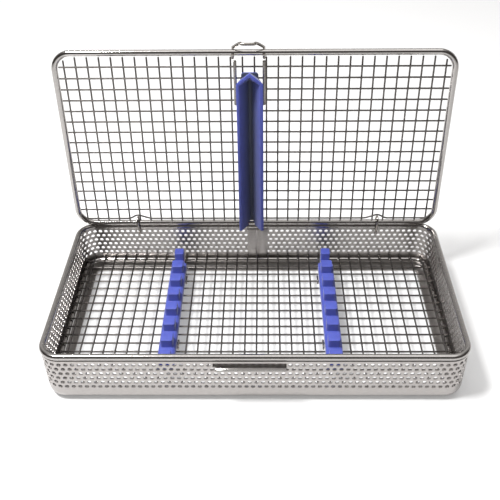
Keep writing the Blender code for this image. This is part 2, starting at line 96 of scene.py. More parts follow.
# %% Camera
SENSOR = 36
PHOTO_PIXELS = 500
FOCAL_PIXELS = 724
LENS_MIDDLE_X = 256.4
LENS_MIDDLE_Y = 226.7
NEAREST = 10 * MM
CAMERA_X = 5.4 * MM
CAMERA_BACK = 282.2 * MM
CAMERA_Z = 280.9 * MM
CAMERA_YAW = math.radians(0.89)
CAMERA_TILT = math.radians(90 - 37.2)
CAMERA_ROLL = math.radians(-0.65)
camera_data = bpy.data.cameras.new("camera")
camera_data.sensor_width = SENSOR
camera_data.lens = FOCAL_PIXELS / PHOTO_PIXELS * SENSOR
camera_data.shift_x = (PHOTO_PIXELS / 2 - LENS_MIDDLE_X) / PHOTO_PIXELS
camera_data.shift_y = (LENS_MIDDLE_Y - PHOTO_PIXELS / 2) / PHOTO_PIXELS
camera_data.clip_start = NEAREST
camera = bpy.data.objects.new("camera", camera_data)
bpy.context.scene.collection.objects.link(camera)
camera.matrix_world = (
    Matrix.Translation((CAMERA_X, TRAY_Y - CAMERA_BACK, CAMERA_Z))
    @ Matrix.Rotation(CAMERA_YAW, 4, "Z")
    @ Matrix.Rotation(CAMERA_TILT, 4, "X")
    @ Matrix.Rotation(CAMERA_ROLL, 4, "Z"))
bpy.context.scene.camera = camera
print("lens", round(camera_data.lens, 1))

# %% [markdown]
# ## Studio: the room
#
# Polished steel shows what stands round it, so the studio matters more than the lamps.  The room
# is bright overhead and behind, and dark in front, where the photographer stands: that draws the
# dark lines along the rods.

# %% Studio
bpy.context.scene.view_settings.view_transform = "Standard"
world = bpy.data.worlds.new("studio")
bpy.context.scene.world = world
world.use_nodes = True
sky = world.node_tree
sky.nodes.clear()
sky_out = sky.nodes.new("ShaderNodeOutputWorld")
room = sky.nodes.new("ShaderNodeBackground")
direction = sky.nodes.new("ShaderNodeTexCoord")
parts = sky.nodes.new("ShaderNodeSeparateXYZ")
sky.links.new(direction.outputs["Generated"], parts.inputs[0])


def room_ramp(output, low, high, dark, light):
    """A soft step of light along one direction of the room."""
    ramp = sky.nodes.new("ShaderNodeValToRGB")
    ramp.color_ramp.elements[0].position = low
    ramp.color_ramp.elements[0].color = (*dark, 1)
    ramp.color_ramp.elements[1].position = high
    ramp.color_ramp.elements[1].color = (*light, 1)
    sky.links.new(parts.outputs[output], ramp.inputs[0])
    return ramp


UNLIT = (0, 0, 0)
DARK_ROOM = (0.10, 0.092, 0.088)
OVERHEAD_TONE = (0.90, 0.89, 0.88)
REAR_TONE = (0.62, 0.61, 0.60)
overhead_light = room_ramp("Z", low=0.72, high=0.93, dark=DARK_ROOM, light=OVERHEAD_TONE)
rear_light = room_ramp("Y", low=0.05, high=0.55, dark=UNLIT, light=REAR_TONE)
lighter = sky.nodes.new("ShaderNodeMix")
lighter.data_type = "RGBA"
lighter.blend_type = "LIGHTEN"
lighter.inputs["Factor"].default_value = 1
sky.links.new(overhead_light.outputs[0], lighter.inputs["A"])
sky.links.new(rear_light.outputs[0], lighter.inputs["B"])
sky.links.new(lighter.outputs["Result"], room.inputs["Color"])
sky.links.new(room.outputs[0], sky_out.inputs["Surface"])
print("world nodes", len(sky.nodes))


# %% [markdown]
# ## Hands
#
# The pieces are modelled as by hand: take a piece, pick some of its corners, edges or faces by
# their place, then move or extrude them.  These helpers do what a hand on the mouse would do.

# %% Take a piece and pick parts of it
MOSTLY = 0.95


def rest_hands():
    """Leave edit mode and let go of everything."""
    if bpy.context.mode != "OBJECT":
        bpy.ops.object.mode_set(mode="OBJECT")
    bpy.ops.object.select_all(action="DESELECT")


def take(piece):
    """Make one piece the only one in hand."""
    rest_hands()
    piece.select_set(True)
    bpy.context.view_layer.objects.active = piece


def open_up(piece):
    """Take a piece and go into edit mode with all of it selected."""
    take(piece)
    bpy.ops.object.mode_set(mode="EDIT")
    bpy.ops.mesh.select_mode(type="VERT")
    bpy.ops.mesh.select_all(action="SELECT")


def pick(piece, test, kind="VERT", along=None):
    """In edit mode, select the corners, edges or faces whose place passes the test.

    With an axis given, only the edges that run along it are taken.
    """
    bpy.ops.mesh.select_mode(type=kind)
    bpy.ops.mesh.select_all(action="DESELECT")
    shape = bmesh.from_edit_mesh(piece.data)
    if kind == "VERT":
        chosen = [vert for vert in shape.verts if test(vert.co)]
    elif kind == "EDGE":
        chosen = [edge for edge in shape.edges if all(test(vert.co) for vert in edge.verts)]
        if along is not None:
            spans = {edge: edge.verts[1].co - edge.verts[0].co for edge in chosen}
            chosen = [edge for edge in chosen
                      if abs(spans[edge][along]) > MOSTLY * spans[edge].length]
    else:
        chosen = [face for face in shape.faces if test(face.calc_center_median())]
    for item in chosen:
        item.select_set(True)
    bpy.ops.mesh.select_mode(type=kind)
    bpy.context.view_layer.update()
    bmesh.update_edit_mesh(piece.data)
    return len(chosen)


def move(offset):
    """Move what is selected."""
    bpy.ops.transform.translate(value=offset)


def extrude(offset):
    """Extrude what is selected."""
    bpy.ops.mesh.extrude_region_move(TRANSFORM_OT_translate={"value": offset})


print("hands ready")


# %% Finish a piece
SMOOTH_BELOW = 35
SHARP_ABOVE = math.radians(40)


def settle(piece, angle=SMOOTH_BELOW):
    """Put a finished piece's place into its mesh and shade it smooth."""
    take(piece)
    bpy.ops.object.transform_apply(location=True, rotation=True, scale=True)
    bpy.ops.object.shade_smooth_by_angle(angle=math.radians(angle))
    return piece


def finish_modifiers(piece):
    """Apply every modifier from the top down."""
    take(piece)
    for modifier in list(piece.modifiers):
        bpy.ops.object.modifier_apply(modifier=modifier.name)


def soften(piece, width, segments=2):
    """Round every sharp edge."""
    rounding = piece.modifiers.new("rounding", "BEVEL")
    rounding.width = width
    rounding.segments = segments
    rounding.limit_method = "ANGLE"
    rounding.angle_limit = SHARP_ABOVE
    finish_modifiers(piece)


def join_or_cut(piece, tool, operation):
    """Join a second shape to a piece, or cut it out, and put the second shape away."""
    change = piece.modifiers.new("shape", "BOOLEAN")
    change.object = tool
    change.operation = operation
    change.solver = "EXACT"
    finish_modifiers(piece)
    bpy.data.objects.remove(tool)


def copy_of(piece):
    """A copy with its own mesh."""
    twin = piece.copy()
    twin.data = piece.data.copy()
    bpy.context.scene.collection.objects.link(twin)
    return twin


print("finishing tools ready")

# %% [markdown]
# ## Handing a piece over
#
# Pieces of the lid and the latch are made lying flat and are then hung where they stand at rest.
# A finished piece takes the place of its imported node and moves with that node's body.

# %% Hang a piece and hand it over
lid_place = Matrix.Translation(HINGE) @ Matrix.Rotation(-OPENED, 4, "X")
latch_place = (lid_place @ Matrix.Translation((0, -LID_DEEP, 0))
               @ Matrix.Rotation(-LATCH_TURN, 4, "X"))


def hang(piece, place):
    """Bring a piece from the lid's or the latch's own measures to where it stands."""
    take(piece)
    bpy.ops.object.transform_apply(location=True, rotation=True, scale=True)
    piece.matrix_world = place
    bpy.ops.object.transform_apply(location=True, rotation=True, scale=True)


def dress(piece, material):
    """Give a piece one finish."""
    piece.data.materials.clear()
    piece.data.materials.append(material)


def hand_over(piece, node, body):
    """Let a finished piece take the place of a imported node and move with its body."""
    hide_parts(node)
    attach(piece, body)
    low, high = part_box(node)
    print(piece.name, len(piece.data.polygons), "faces",
          [round(value / MM, 1) for value in piece.dimensions], "node",
          [round((high[axis] - low[axis]) / MM, 1) for axis in range(3)])


print("lid opened by", round(math.degrees(OPENED)), "degrees")

# %% [markdown]
# ## The floor
#
# A large pale sheet.  The camera and the steel see it nearly white, and it still takes the
# cassette's shadow.

# %% Floor
FLOOR_WIDE = 6
FLOOR_DROP = 0.2 * MM
FLOOR_TONE = 0.86
FLOOR_ROUGHNESS = 0.35
FLOOR_SHINE = 0.3
FLOOR_GLOW = 0.25

rest_hands()
bpy.ops.mesh.primitive_plane_add(size=FLOOR_WIDE, location=(0, 0, -FLOOR_DROP))
floor = bpy.context.object
floor.name = "floor"
floor_white = bpy.data.materials.new("pale floor")
floor_white.use_nodes = True
tree = floor_white.node_tree
surface = tree.nodes["Principled BSDF"]
surface.inputs["Base Color"].default_value = (FLOOR_TONE, FLOOR_TONE, FLOOR_TONE, 1)
surface.inputs["Roughness"].default_value = FLOOR_ROUGHNESS
surface.inputs["Specular IOR Level"].default_value = FLOOR_SHINE
glow = tree.nodes.new("ShaderNodeEmission")
glow.inputs["Color"].default_value = (1, 1, 1, 1)
glow.inputs["Strength"].default_value = 1.0
seen = tree.nodes.new("ShaderNodeLightPath")
either = tree.nodes.new("ShaderNodeMath")
either.operation = "MAXIMUM"
tree.links.new(seen.outputs["Is Camera Ray"], either.inputs[0])
tree.links.new(seen.outputs["Is Glossy Ray"], either.inputs[1])
part_glow = tree.nodes.new("ShaderNodeMath")
part_glow.operation = "MULTIPLY"
part_glow.inputs[1].default_value = FLOOR_GLOW
tree.links.new(either.outputs[0], part_glow.inputs[0])
blend = tree.nodes.new("ShaderNodeMixShader")
tree.links.new(part_glow.outputs[0], blend.inputs["Fac"])
tree.links.new(surface.outputs[0], blend.inputs[1])
tree.links.new(glow.outputs[0], blend.inputs[2])
tree.links.new(blend.outputs[0], tree.nodes["Material Output"].inputs["Surface"])
dress(floor, floor_white)
print("floor at", round(floor.location.z / MM, 2), "mm")

# %% [markdown]
# ## Lamps
#
# A small key lamp draws the shadows, and a wide weak one overhead fills them.

# %% Lamps
def soft_lamp(name, place, aim, size, watts):
    """A square lamp with a soft edge."""
    data = bpy.data.lights.new(name, "AREA")
    data.size = size
    data.energy = watts
    lamp = bpy.data.objects.new(name, data)
    lamp.location = place
    toward = Vector(aim) - Vector(place)
    lamp.rotation_euler = toward.to_track_quat("-Z", "Y").to_euler()
    bpy.context.scene.collection.objects.link(lamp)
    return lamp


soft_lamp("key", place=(-0.34, -0.10, 0.85), aim=(0, 0, 0), size=0.18, watts=11)
soft_lamp("overhead", place=(0, 0.1, 0.9), aim=(0, 0, 0), size=0.9, watts=2)

# %% [markdown]
# ## Steel finishes
#
# One recipe makes all the steels: a metallic surface whose roughness wanders a little with a
# fine noise, and a faint bump.  The polished rods get little of both, the brushed sheet more.

# %% Steel
PATCH_FROM = 0.3
PATCH_TO = 0.7
PATCH_DARKER = 0.86
GRAIN_DETAIL = 4
GRAIN_RELIEF = 0.02 * MM


def steel(name, colour, roughness, wander, bump, scale, stretch=(1, 1, 1)):
    """Steel with a wandering roughness and a fine bump."""
    material = bpy.data.materials.new(name)
    material.use_nodes = True
    nodes, links = material.node_tree.nodes, material.node_tree.links
    shader = nodes["Principled BSDF"]
    shader.inputs["Metallic"].default_value = 1.0
    place = nodes.new("ShaderNodeTexCoord")
    mapping = nodes.new("ShaderNodeMapping")
    mapping.inputs["Scale"].default_value = stretch
    links.new(place.outputs["Object"], mapping.inputs["Vector"])
    grain = nodes.new("ShaderNodeTexNoise")
    grain.inputs["Scale"].default_value = scale
    grain.inputs["Detail"].default_value = GRAIN_DETAIL
    links.new(mapping.outputs["Vector"], grain.inputs["Vector"])
    tone = nodes.new("ShaderNodeValToRGB")
    tone.color_ramp.elements[0].position = PATCH_FROM
    tone.color_ramp.elements[0].color = (*(channel * PATCH_DARKER for channel in colour), 1)
    tone.color_ramp.elements[1].position = PATCH_TO
    tone.color_ramp.elements[1].color = (*colour, 1)
    links.new(grain.outputs["Fac"], tone.inputs["Fac"])
    links.new(tone.outputs["Color"], shader.inputs["Base Color"])
    spread = nodes.new("ShaderNodeMapRange")
    spread.inputs["To Min"].default_value = roughness - wander
    spread.inputs["To Max"].default_value = roughness + wander
    links.new(grain.outputs["Fac"], spread.inputs["Value"])
    links.new(spread.outputs["Result"], shader.inputs["Roughness"])
    relief = nodes.new("ShaderNodeBump")
    relief.inputs["Strength"].default_value = bump
    relief.inputs["Distance"].default_value = GRAIN_RELIEF
    links.new(grain.outputs["Fac"], relief.inputs["Height"])
    links.new(relief.outputs["Normal"], shader.inputs["Normal"])
    return material


polished = steel("polished rod", colour=(0.46, 0.44, 0.425), roughness=0.13, wander=0.05,
                 bump=0.10, scale=900)
brushed = steel("brushed sheet", colour=(0.47, 0.445, 0.43), roughness=0.34, wander=0.10,
                bump=0.35, scale=500, stretch=(1, 1, 4))
drawn = steel("drawn wire", colour=(0.18, 0.166, 0.157), roughness=0.32, wander=0.08,
              bump=0.20, scale=1500)
spring = steel("spring wire", colour=(0.36, 0.335, 0.31), roughness=0.20, wander=0.07,
               bump=0.15, scale=1200)
print("steels:", polished.name, brushed.name, drawn.name, spring.name)

# %% [markdown]
# ## Silicone
#
# Autoclavable silicone is matt, a little soft to the light and never quite even in colour.  Deep
# in the trough a painted shade darkens it; an attribute named valley gives the strength of that
# painted shade at each corner of the mesh.

# %% Silicone
SILICONE_DARK = (0.046, 0.064, 0.34, 1)
SILICONE_LIGHT = (0.056, 0.078, 0.40, 1)
# Painted shade: the dark blue that is blended in towards the bottom of the trough's valley.
SILICONE_VALLEY_SHADE = (0.030, 0.040, 0.085, 1)
SILICONE_ROUGHNESS = 0.55
SILICONE_SHEEN = 0.25
SILICONE_GLOW = 0.08
SILICONE_REACH = 1.0 * MM
CLOUD_SCALE = 260
CLOUD_DETAIL = 5
SKIN_SCALE = 2600
SKIN_STRENGTH = 0.25
SKIN_RELIEF = 0.03 * MM

silicone = bpy.data.materials.new("blue silicone")
silicone.use_nodes = True
nodes, links = silicone.node_tree.nodes, silicone.node_tree.links
rubber = nodes["Principled BSDF"]
rubber.inputs["Roughness"].default_value = SILICONE_ROUGHNESS
rubber.inputs["Sheen Weight"].default_value = SILICONE_SHEEN
rubber.inputs["Sheen Roughness"].default_value = 0.5
rubber.inputs["Subsurface Weight"].default_value = SILICONE_GLOW
rubber.inputs["Subsurface Scale"].default_value = SILICONE_REACH
place = nodes.new("ShaderNodeTexCoord")
cloud = nodes.new("ShaderNodeTexNoise")
cloud.inputs["Scale"].default_value = CLOUD_SCALE
cloud.inputs["Detail"].default_value = CLOUD_DETAIL
links.new(place.outputs["Object"], cloud.inputs["Vector"])
tone = nodes.new("ShaderNodeValToRGB")
tone.color_ramp.elements[0].position = PATCH_FROM
tone.color_ramp.elements[0].color = SILICONE_DARK
tone.color_ramp.elements[1].position = PATCH_TO
tone.color_ramp.elements[1].color = SILICONE_LIGHT
links.new(cloud.outputs["Fac"], tone.inputs["Fac"])
# Painted shade: the valley attribute mixes the dark blue into the silicone deep in the trough,
# where shade falls.
depth = nodes.new("ShaderNodeAttribute")
depth.attribute_name = "valley"
valley_shade_mix = nodes.new("ShaderNodeMix")
valley_shade_mix.data_type = "RGBA"
valley_shade_mix.inputs["B"].default_value = SILICONE_VALLEY_SHADE
links.new(depth.outputs["Fac"], valley_shade_mix.inputs["Factor"])
links.new(tone.outputs["Color"], valley_shade_mix.inputs["A"])
links.new(valley_shade_mix.outputs["Result"], rubber.inputs["Base Color"])
skin = nodes.new("ShaderNodeTexNoise")
skin.inputs["Scale"].default_value = SKIN_SCALE
links.new(place.outputs["Object"], skin.inputs["Vector"])
relief = nodes.new("ShaderNodeBump")
relief.inputs["Strength"].default_value = SKIN_STRENGTH
relief.inputs["Distance"].default_value = SKIN_RELIEF
links.new(skin.outputs["Fac"], relief.inputs["Height"])
links.new(relief.outputs["Normal"], rubber.inputs["Normal"])
print("silicone nodes", len(nodes))

# %% [markdown]
# ## Rod frames
#
# Each frame is a length of round rod bent into a rounded rectangle and welded.  A plane gives
# the outline, a bevel of its corners gives the bends, and the outline becomes a curve with a
# round section, which is then made a mesh.

# %% Rod frames
CORNER_SEGMENTS = 20
ROD_ROUNDNESS = 6


def rod_frame(name, deep_half, inset, place, rod=ROD):
    """A closed frame of round rod that follows the rim's outline."""
    rest_hands()
    bpy.ops.mesh.primitive_plane_add(size=2, location=place)
    piece = bpy.context.object
    piece.name = name
    bpy.ops.transform.resize(value=(LONG - inset, deep_half - inset, 1))
    bpy.ops.object.transform_apply(location=False, rotation=False, scale=True)
    open_up(piece)
    bpy.ops.mesh.bevel(offset=CORNER - inset, segments=CORNER_SEGMENTS, affect="VERTICES")
    bpy.ops.mesh.select_all(action="SELECT")
    bpy.ops.mesh.delete(type="ONLY_FACE")
    bpy.ops.object.mode_set(mode="OBJECT")
    bpy.ops.object.convert(target="CURVE")
    piece.data.dimensions = "3D"
    piece.data.bevel_depth = rod / 2
    piece.data.bevel_resolution = ROD_ROUNDNESS
    bpy.ops.object.convert(target="MESH")
    dress(piece, polished)
    return settle(piece)


rim = rod_frame("rim_rod_round", DEEP, 0, (0, TRAY_Y, RIM_Z))
hand_over(rim, "rim_rod", "tray")
foot_rod = rod_frame("floor_frame_round", DEEP, FLOOR_INSET, (0, TRAY_Y, FLOOR_ROD_Z))
hand_over(foot_rod, "floor_frame", "tray")
lid_rod = rod_frame("lid_frame_round", LID_DEEP / 2, 0, (0, -LID_DEEP / 2, 0))
hang(lid_rod, lid_place)
hand_over(lid_rod, "lid_frame", "lid")

# %% [markdown]
# ## The perforated wall
#
# The wall is one strip of punched sheet.  One cell with one hole is made flat: a small grid is
# inset, its middle deleted and the opening drawn to a circle.  Two staggered cells are then
# repeated along the strip and down it.  The foot is extruded and bent, and a curve that follows
# the tray's outline wraps the strip round.  Made flat, each hole stays round and evenly spaced.

# %% One punched cell
SHEET = 0.8 * MM
SHEET_OUT = 0.7 * MM
HOLE = 2.1 * MM
HOLES_ROUND = 186
ROWS = 6
ROW_STEP = 3.0 * MM
TOP_ROW = 24.7 * MM
WALL_TOP = 27.0 * MM
CELL_RIM = 0.35 * MM
CLOSE = 0.1 * MM
SAME = 0.01 * MM
wall_long = LONG + SHEET_OUT
wall_deep = DEEP + SHEET_OUT
wall_corner = CORNER + SHEET_OUT
girth = 4 * (wall_long + wall_deep) - (8 - 2 * math.pi) * wall_corner
pitch = girth / HOLES_ROUND

rest_hands()
middle = Vector((pitch / 2, TOP_ROW, 0))
bpy.ops.mesh.primitive_grid_add(x_subdivisions=4, y_subdivisions=4, size=1, location=middle)
wall = bpy.context.object
wall.name = "side_wall_punched"
bpy.ops.transform.resize(value=(pitch, ROW_STEP, 1))
bpy.ops.object.transform_apply(location=True, rotation=False, scale=True)
bpy.ops.object.mode_set(mode="EDIT")
bpy.ops.mesh.select_mode(type="FACE")
bpy.ops.mesh.select_all(action="SELECT")
bpy.ops.mesh.inset(thickness=CELL_RIM, use_boundary=True)
bpy.ops.mesh.delete(type="FACE")
pick(wall, lambda co: abs(co.x - middle.x) < pitch / 2 - CLOSE
     and abs(co.y - middle.y) < ROW_STEP / 2 - CLOSE)
bpy.ops.transform.tosphere(value=1)
shape = bmesh.from_edit_mesh(wall.data)
drawn_radius = max((vert.co - middle).length for vert in shape.verts if vert.select)
bpy.ops.transform.resize(value=(HOLE / 2 / drawn_radius,) * 3, center_override=middle)
bpy.ops.mesh.select_all(action="SELECT")
bpy.ops.mesh.duplicate_move(TRANSFORM_OT_translate={"value": (-pitch / 2, -ROW_STEP, 0)})
bpy.ops.object.mode_set(mode="OBJECT")
print("pitch", round(pitch / MM, 3), "faces in two cells", len(wall.data.polygons))

# %% The strip of cells
take(wall)
along = wall.modifiers.new("along", "ARRAY")
along.use_relative_offset = False
along.use_constant_offset = True
along.constant_offset_displace = (pitch, 0, 0)
along.count = HOLES_ROUND + 1
down = wall.modifiers.new("down", "ARRAY")
down.use_relative_offset = False
down.use_constant_offset = True
down.constant_offset_displace = (0, -2 * ROW_STEP, 0)
down.count = ROWS // 2
finish_modifiers(wall)
bpy.ops.object.mode_set(mode="EDIT")
bpy.ops.mesh.select_all(action="SELECT")
bpy.ops.mesh.remove_doubles(threshold=SAME)
bpy.ops.mesh.bisect(plane_co=(0, 0, 0), plane_no=(1, 0, 0), clear_inner=True)
bpy.ops.mesh.select_all(action="SELECT")
bpy.ops.mesh.bisect(plane_co=(girth, 0, 0), plane_no=(1, 0, 0), clear_outer=True)
cell_top = TOP_ROW + ROW_STEP / 2
cell_bottom = TOP_ROW - (ROWS - 0.5) * ROW_STEP
pick(wall, lambda co: abs(co.y - cell_top) < SAME, "EDGE")
extrude((0, WALL_TOP - cell_top, 0))
print("strip", round(girth / MM, 1), "mm long")

# %% The rolled foot
FOOT_BEND = 4.6 * MM
FOOT_LIP = 2.5 * MM
BEND_Z = 5.0 * MM
BEND_STEPS = 6
pick(wall, lambda co: abs(co.y - cell_bottom) < SAME, "EDGE")
extrude((0, BEND_Z - cell_bottom, 0))
for step in range(BEND_STEPS):
    here, there = (math.pi / 2 * (step + more) / BEND_STEPS for more in (0, 1))
    extrude((0, -FOOT_BEND * (math.sin(there) - math.sin(here)),
             -FOOT_BEND * (math.cos(here) - math.cos(there))))
extrude((0, 0, -FOOT_LIP))
print("foot bent in", BEND_STEPS, "steps")

# %% [markdown]
# ### Where the wall has no holes
#
# The rear seam is left plain, and beside it each second row is plain too.  Behind the keeper lip
# eleven cells of the top row are pressed in, which makes the pocket that takes the latch.

# %% Seam and pocket
SEAM_TO_RIGHT = 6.8 * MM
SEAM_TO_LEFT = 5.0 * MM
PLAIN_FROM = 6.0 * MM
PLAIN_TO = 11.9 * MM
HOLE_CORNERS = 16
rear = girth / 2
pick(wall, lambda co: rear - SEAM_TO_RIGHT < co.x < rear + SEAM_TO_LEFT
     and co.y > cell_bottom + 2 * CLOSE)
bpy.ops.mesh.fill_holes(sides=HOLE_CORNERS)
for row in range(1, ROWS, 2):
    height = TOP_ROW - row * ROW_STEP
    pick(wall, lambda co: rear - PLAIN_TO < co.x < rear - PLAIN_FROM
         and abs(co.y - height) < ROW_STEP / 2 - CLOSE)
    bpy.ops.mesh.fill_holes(sides=HOLE_CORNERS)

POCKET_DEEP = 2.4 * MM
CELLS_RIGHT = 5
CELLS_LEFT = 6
pocket_right = CELLS_RIGHT * pitch
pocket_left = girth - CELLS_LEFT * pitch


def in_row(co):
    """Within the top row of holes."""
    return abs(co.y - TOP_ROW) < ROW_STEP / 2


def between(co):
    """Between the sheet and the pocket's back."""
    return -POCKET_DEEP + TINY < co.z < -TINY


def on_rim(co):
    """On the pocket's outer rim, which stays."""
    return (abs(co.y - TOP_ROW) > ROW_STEP / 2 - CLOSE
            or min(abs(co.x - pocket_right), abs(co.x - pocket_left)) < CLOSE)


pick(wall, lambda co: (co.x < pocket_right or co.x > pocket_left) and in_row(co), "FACE")
extrude((0, 0, -POCKET_DEEP))
pick(wall, lambda co: between(co) and in_row(co) and not on_rim(co), "FACE")
bpy.ops.mesh.delete(type="FACE")
pick(wall, lambda co: between(co) and co.y > TOP_ROW - ROW_STEP
     and min(co.x, girth - co.x) < TINY, "FACE")
bpy.ops.mesh.delete(type="FACE")
bpy.ops.object.mode_set(mode="OBJECT")
wall.rotation_euler = (math.pi / 2, 0, 0)
bpy.ops.object.transform_apply(location=False, rotation=True, scale=False)
print("strip faces", len(wall.data.polygons), "size", [round(v / MM, 1) for v in wall.dimensions])

# %% [markdown]
# ### Round the tray
#
# The strip follows a closed curve that starts at the middle of the front, runs to the right and
# round.  The curve's points lie close together, so that the holes keep their shape in the bends.

# %% The path of the wall
PATH_SEGMENTS = 24
PATH_STEP = 1.2 * MM

rest_hands()
bpy.ops.mesh.primitive_plane_add(size=2, location=(0, TRAY_Y, 0))
track = bpy.context.object
bpy.ops.transform.resize(value=(wall_long, wall_deep, 1))
bpy.ops.object.transform_apply(location=True, rotation=False, scale=True)
bpy.ops.object.mode_set(mode="EDIT")
bpy.ops.mesh.select_mode(type="VERT")
bpy.ops.mesh.select_all(action="SELECT")
bpy.ops.mesh.bevel(offset=wall_corner, segments=PATH_SEGMENTS, affect="VERTICES")
bpy.ops.mesh.select_all(action="SELECT")
bpy.ops.mesh.delete(type="ONLY_FACE")
bpy.ops.object.mode_set(mode="OBJECT")
neighbours = {}
for edge in track.data.edges:
    first, second = edge.vertices
    neighbours.setdefault(first, []).append(second)
    neighbours.setdefault(second, []).append(first)
ring = [0, neighbours[0][0]]
while len(ring) < len(track.data.vertices):
    ring.append(next(index for index in neighbours[ring[-1]] if index != ring[-2]))
corners = [track.data.vertices[index].co.copy() for index in ring]
area = sum(a.x * b.y - b.x * a.y for a, b in zip(corners, corners[1:] + corners[:1]))
if area < 0:
    corners.reverse()
bpy.data.objects.remove(track)
dense = []
for a, b in zip(corners, corners[1:] + corners[:1]):
    steps = max(1, round((b - a).length / PATH_STEP))
    dense += [a.lerp(b, step / steps) for step in range(steps)]
start = min(range(len(dense)), key=lambda index: (abs(dense[index].x), dense[index].y))
dense = dense[start:] + dense[:start]
path = bpy.data.curves.new("wall_path", "CURVE")
path.dimensions = "3D"
path.twist_mode = "Z_UP"
spline = path.splines.new("POLY")
spline.points.add(len(dense) - 1)
for point, place in zip(spline.points, dense):
    point.co = (place.x, place.y, 0, 1)
spline.use_cyclic_u = True
wall_path = bpy.data.objects.new("wall_path", path)
bpy.context.scene.collection.objects.link(wall_path)
print("path points", len(dense))

# %% Wrap the strip round the tray
MERGE_SEAM = 0.05 * MM
wrap = wall.modifiers.new("wrap", "CURVE")
wrap.object = wall_path
wrap.deform_axis = "POS_X"
finish_modifiers(wall)
bpy.data.objects.remove(wall_path)
bpy.ops.object.mode_set(mode="EDIT")
bpy.ops.mesh.select_all(action="SELECT")
bpy.ops.mesh.remove_doubles(threshold=MERGE_SEAM)
bpy.ops.mesh.normals_make_consistent(inside=False)
bpy.ops.object.mode_set(mode="OBJECT")
skin = wall.modifiers.new("sheet", "SOLIDIFY")
skin.thickness = SHEET
skin.offset = 0
skin.use_even_offset = True
finish_modifiers(wall)
dress(wall, brushed)
settle(wall)
hand_over(wall, "side_wall", "tray")

# %% [markdown]
# ## Bent and straight wires
#
# A bent wire starts as one point that is extruded from bend to bend.  A bevel of its points
# rounds the bends, and the line becomes a curve with a round section, which is made a mesh.  A
# straight rod starts as a cylinder whose ends are rounded with a bevel.

# %% Wires
BEND_SEGMENTS = 5
EASE = 0.25
END_ROUND = 0.28
END_SEGMENTS = 3


def bent_wire(name, points, thickness, bend=0, resolution=4):
    """Round wire through the points, with its bends rounded."""
    rest_hands()
    bpy.ops.mesh.primitive_plane_add(size=thickness, location=points[0])
    piece = bpy.context.object
    piece.name = name
    bpy.ops.object.transform_apply(location=True, rotation=False, scale=False)
    open_up(piece)
    bpy.ops.mesh.merge(type="CENTER")
    for here, there in zip(points, points[1:]):
        extrude(there - here)
    if bend:
        bpy.ops.mesh.select_all(action="SELECT")
        bpy.ops.mesh.bevel(offset=bend, segments=BEND_SEGMENTS, affect="VERTICES",
                           clamp_overlap=True)
    bpy.ops.object.mode_set(mode="OBJECT")
    bpy.ops.object.convert(target="CURVE")
    piece.data.dimensions = "3D"
    piece.data.bevel_depth = thickness / 2
    piece.data.bevel_resolution = resolution
    piece.data.use_fill_caps = True
    bpy.ops.object.convert(target="MESH")
    open_up(piece)
    bpy.ops.mesh.remove_doubles(threshold=TINY / 4)
    bpy.ops.mesh.normals_make_consistent(inside=False)
    bpy.ops.object.mode_set(mode="OBJECT")
    return piece


def eased(points, rounds=2):
    """The same route with its corners cut off again and again, so that the bends are soft."""
    for _ in range(rounds):
        cut = [points[0]]
        for here, there in zip(points, points[1:]):
            cut += [here.lerp(there, EASE), here.lerp(there, 1 - EASE)]
        points = cut + [points[-1]]
    return points


def straight_rod(name, middle, length, thickness, across=True, sides=24):
    """Round rod with rounded ends, left to right or front to back."""
    rest_hands()
    turn = (0, math.pi / 2, 0) if across else (math.pi / 2, 0, 0)
    bpy.ops.mesh.primitive_cylinder_add(vertices=sides, radius=thickness / 2, depth=length,
                                        location=middle, rotation=turn)
    piece = bpy.context.object
    piece.name = name
    bpy.ops.object.transform_apply(location=True, rotation=True, scale=True)
    bpy.ops.object.mode_set(mode="EDIT")
    axis = 0 if across else 1
    end = length / 2 - TINY
    pick(piece, lambda co: abs(co[axis] - middle[axis]) > end, "EDGE")
    bpy.ops.mesh.bevel(offset=thickness * END_ROUND, segments=END_SEGMENTS, affect="EDGES")
    bpy.ops.object.mode_set(mode="OBJECT")
    return piece


print("wire tools ready")

# %% [markdown]
# ## The wire meshes
#
# Floor and lid are straight wires in two layers, pressed a little into each other where they are
# welded.  One short wire with rounded ends is modelled, and each copy's ends are drawn out
# until it meets the frame.  The lid's rearmost wire is bent like a tent at each hinge clip.

# %% Wire panels
WIRE = 0.94 * MM
STEP = 6.0 * MM
SINK = 0.33 * MM
STUB = 4.0 * MM
WIRE_SIDES = 10
ROWS_OF_WIRE = 16
COLUMNS_EACH_SIDE = 16
TENT_BEND = 1.4 * MM


def run_of(across, long_half, deep_half, radius):
    """How far a straight wire runs before it meets the rounded outline."""
    past = abs(across) - (long_half - radius)
    if past <= 0:
        return deep_half
    return deep_half - radius + math.sqrt(max(radius ** 2 - past ** 2, 0))


def drawn_out(pattern, half):
    """A copy of the short wire whose ends are moved apart."""
    piece = copy_of(pattern)
    take(piece)
    bpy.ops.object.mode_set(mode="EDIT")
    pick(piece, lambda co: co.x > 0)
    move((half - STUB, 0, 0))
    pick(piece, lambda co: co.x < 0)
    move((STUB - half, 0, 0))
    bpy.ops.object.mode_set(mode="OBJECT")
    return piece


